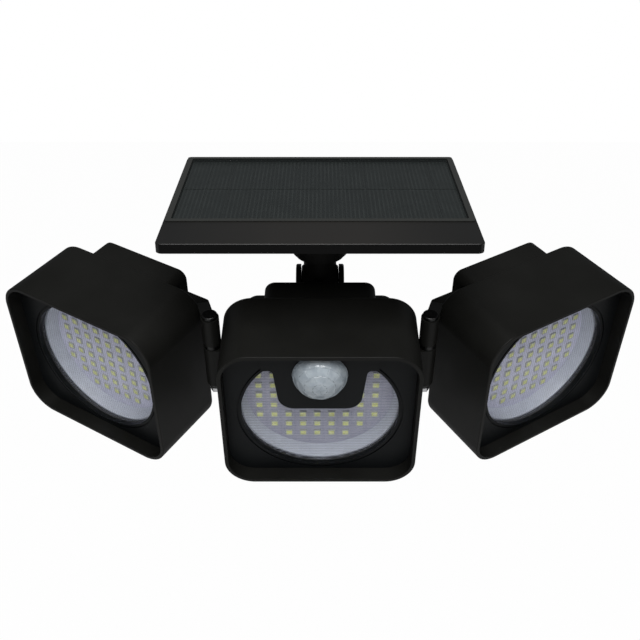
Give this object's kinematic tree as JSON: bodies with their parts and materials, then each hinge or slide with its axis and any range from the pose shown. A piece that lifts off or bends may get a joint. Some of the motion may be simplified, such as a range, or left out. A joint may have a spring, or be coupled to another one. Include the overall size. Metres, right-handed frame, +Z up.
{
  "type": "motion sensor security light",
  "caption": "Wall light with three hooded swivelling lamp heads, a motion sensor dome and a solar panel on a jointed neck.",
  "frame": {"origin": "centre of the wall plate's back face", "axes": "+Z up, +Y into the wall, the lamp faces -Y, +X to the right of a viewer in front"},
  "size_m": [0.307, 0.1206, 0.1418],
  "materials": {
    "black_plastic": "moulded, satin",
    "bezel_plastic": "moulded, matt",
    "lens_clear": "clear, finely ribbed",
    "gasket_rubber": "soft matt",
    "reflector_grey": "satin light grey",
    "board_lavender": "white solder mask",
    "led_package": "yellow emitter in a white frame",
    "steel": "zinc plated",
    "black_steel": "black",
    "dome_milky": "translucent, faceted",
    "sensor_can": "nickel plated can",
    "cell_wrap": "shrink wrap",
    "holder_plastic": "moulded",
    "board_green": "solder mask",
    "button_rubber": "silicone",
    "panel_plastic": "fine texture, soft sheen",
    "backing_board": "board",
    "panel_glass": "clear cover",
    "solar_cell": "dark cell with finger lines"
  },
  "bodies": {
    "wall_bracket": {"wall_bracket": "black_plastic", "pivot_bolt": "steel", "pivot_knob": "black_plastic"},
    "centre_head": {"centre_hood": "black_plastic", "centre_bezel": "bezel_plastic", "centre_rear_housing": "black_plastic", "centre_lens": "lens_clear", "centre_lens_gasket": "gasket_rubber", "centre_reflector": "reflector_grey", "centre_led_board": "board_lavender", "centre_leds": "led_package", "centre_case_screws": "steel", "sensor_plate": "bezel_plastic", "sensor_dome": "dome_milky", "motion_sensor": "sensor_can", "battery_cells": "cell_wrap", "battery_holder": "holder_plastic", "control_board": "board_green", "mode_switch": "holder_plastic", "neck_pin": "steel", "left_swivel_screw": "black_steel", "left_swivel_nut": "steel", "left_swivel_washer": "black_steel", "right_swivel_screw": "black_steel", "right_swivel_nut": "steel", "right_swivel_washer": "black_steel"},
    "left_head": {"left_hood": "black_plastic", "left_bezel": "bezel_plastic", "left_rear_housing": "black_plastic", "left_lens": "lens_clear", "left_lens_gasket": "gasket_rubber", "left_reflector": "reflector_grey", "left_led_board": "board_lavender", "left_leds": "led_package", "left_case_screws": "steel"},
    "right_head": {"right_hood": "black_plastic", "right_bezel": "bezel_plastic", "right_rear_housing": "black_plastic", "right_lens": "lens_clear", "right_lens_gasket": "gasket_rubber", "right_reflector": "reflector_grey", "right_led_board": "board_lavender", "right_leds": "led_package", "right_case_screws": "steel"},
    "neck": {"neck_knuckle": "black_plastic", "hub_washer": "steel", "hub_screw": "steel"},
    "panel": {"panel_hub": "black_plastic", "hub_flange_screws": "steel", "panel_tray": "panel_plastic", "panel_backing_board": "backing_board", "panel_glass": "panel_glass", "solar_cells": "solar_cell"},
    "mode_button": {"mode_button": "button_rubber"}
  },
  "joints": [
    {"name": "bracket_tilt", "type": "hinge", "parent": "wall_bracket", "child": "centre_head", "pos_m": [0, -0.04, 0.019], "axis": [1, 0, 0], "range_deg": [-15, 25]},
    {"name": "left_swivel", "type": "hinge", "parent": "centre_head", "child": "left_head", "pos_m": [-0.05, -0.07732, 0.01393], "axis": [0, 0.342, -0.9397], "range_deg": [-35, 15]},
    {"name": "right_swivel", "type": "hinge", "parent": "centre_head", "child": "right_head", "pos_m": [0.05, -0.07732, 0.01393], "axis": [0, -0.342, 0.9397], "range_deg": [-35, 15]},
    {"name": "neck_tilt", "type": "hinge", "parent": "centre_head", "child": "neck", "pos_m": [0, -0.05617, 0.05377], "axis": [1, 0, 0], "range_deg": [-25, 15]},
    {"name": "panel_swivel", "type": "hinge", "parent": "neck", "child": "panel", "pos_m": [0, -0.05617, 0.05377], "axis": [0, -0.1478, 0.989], "range_deg": [-60, 60]},
    {"name": "button_press", "type": "slide", "parent": "centre_head", "child": "mode_button", "axis": [0, -0.342, 0.9397], "range_m": [0, 0.001], "stiffness_N_per_m": 400, "springref_m": -0.001}
  ]
}
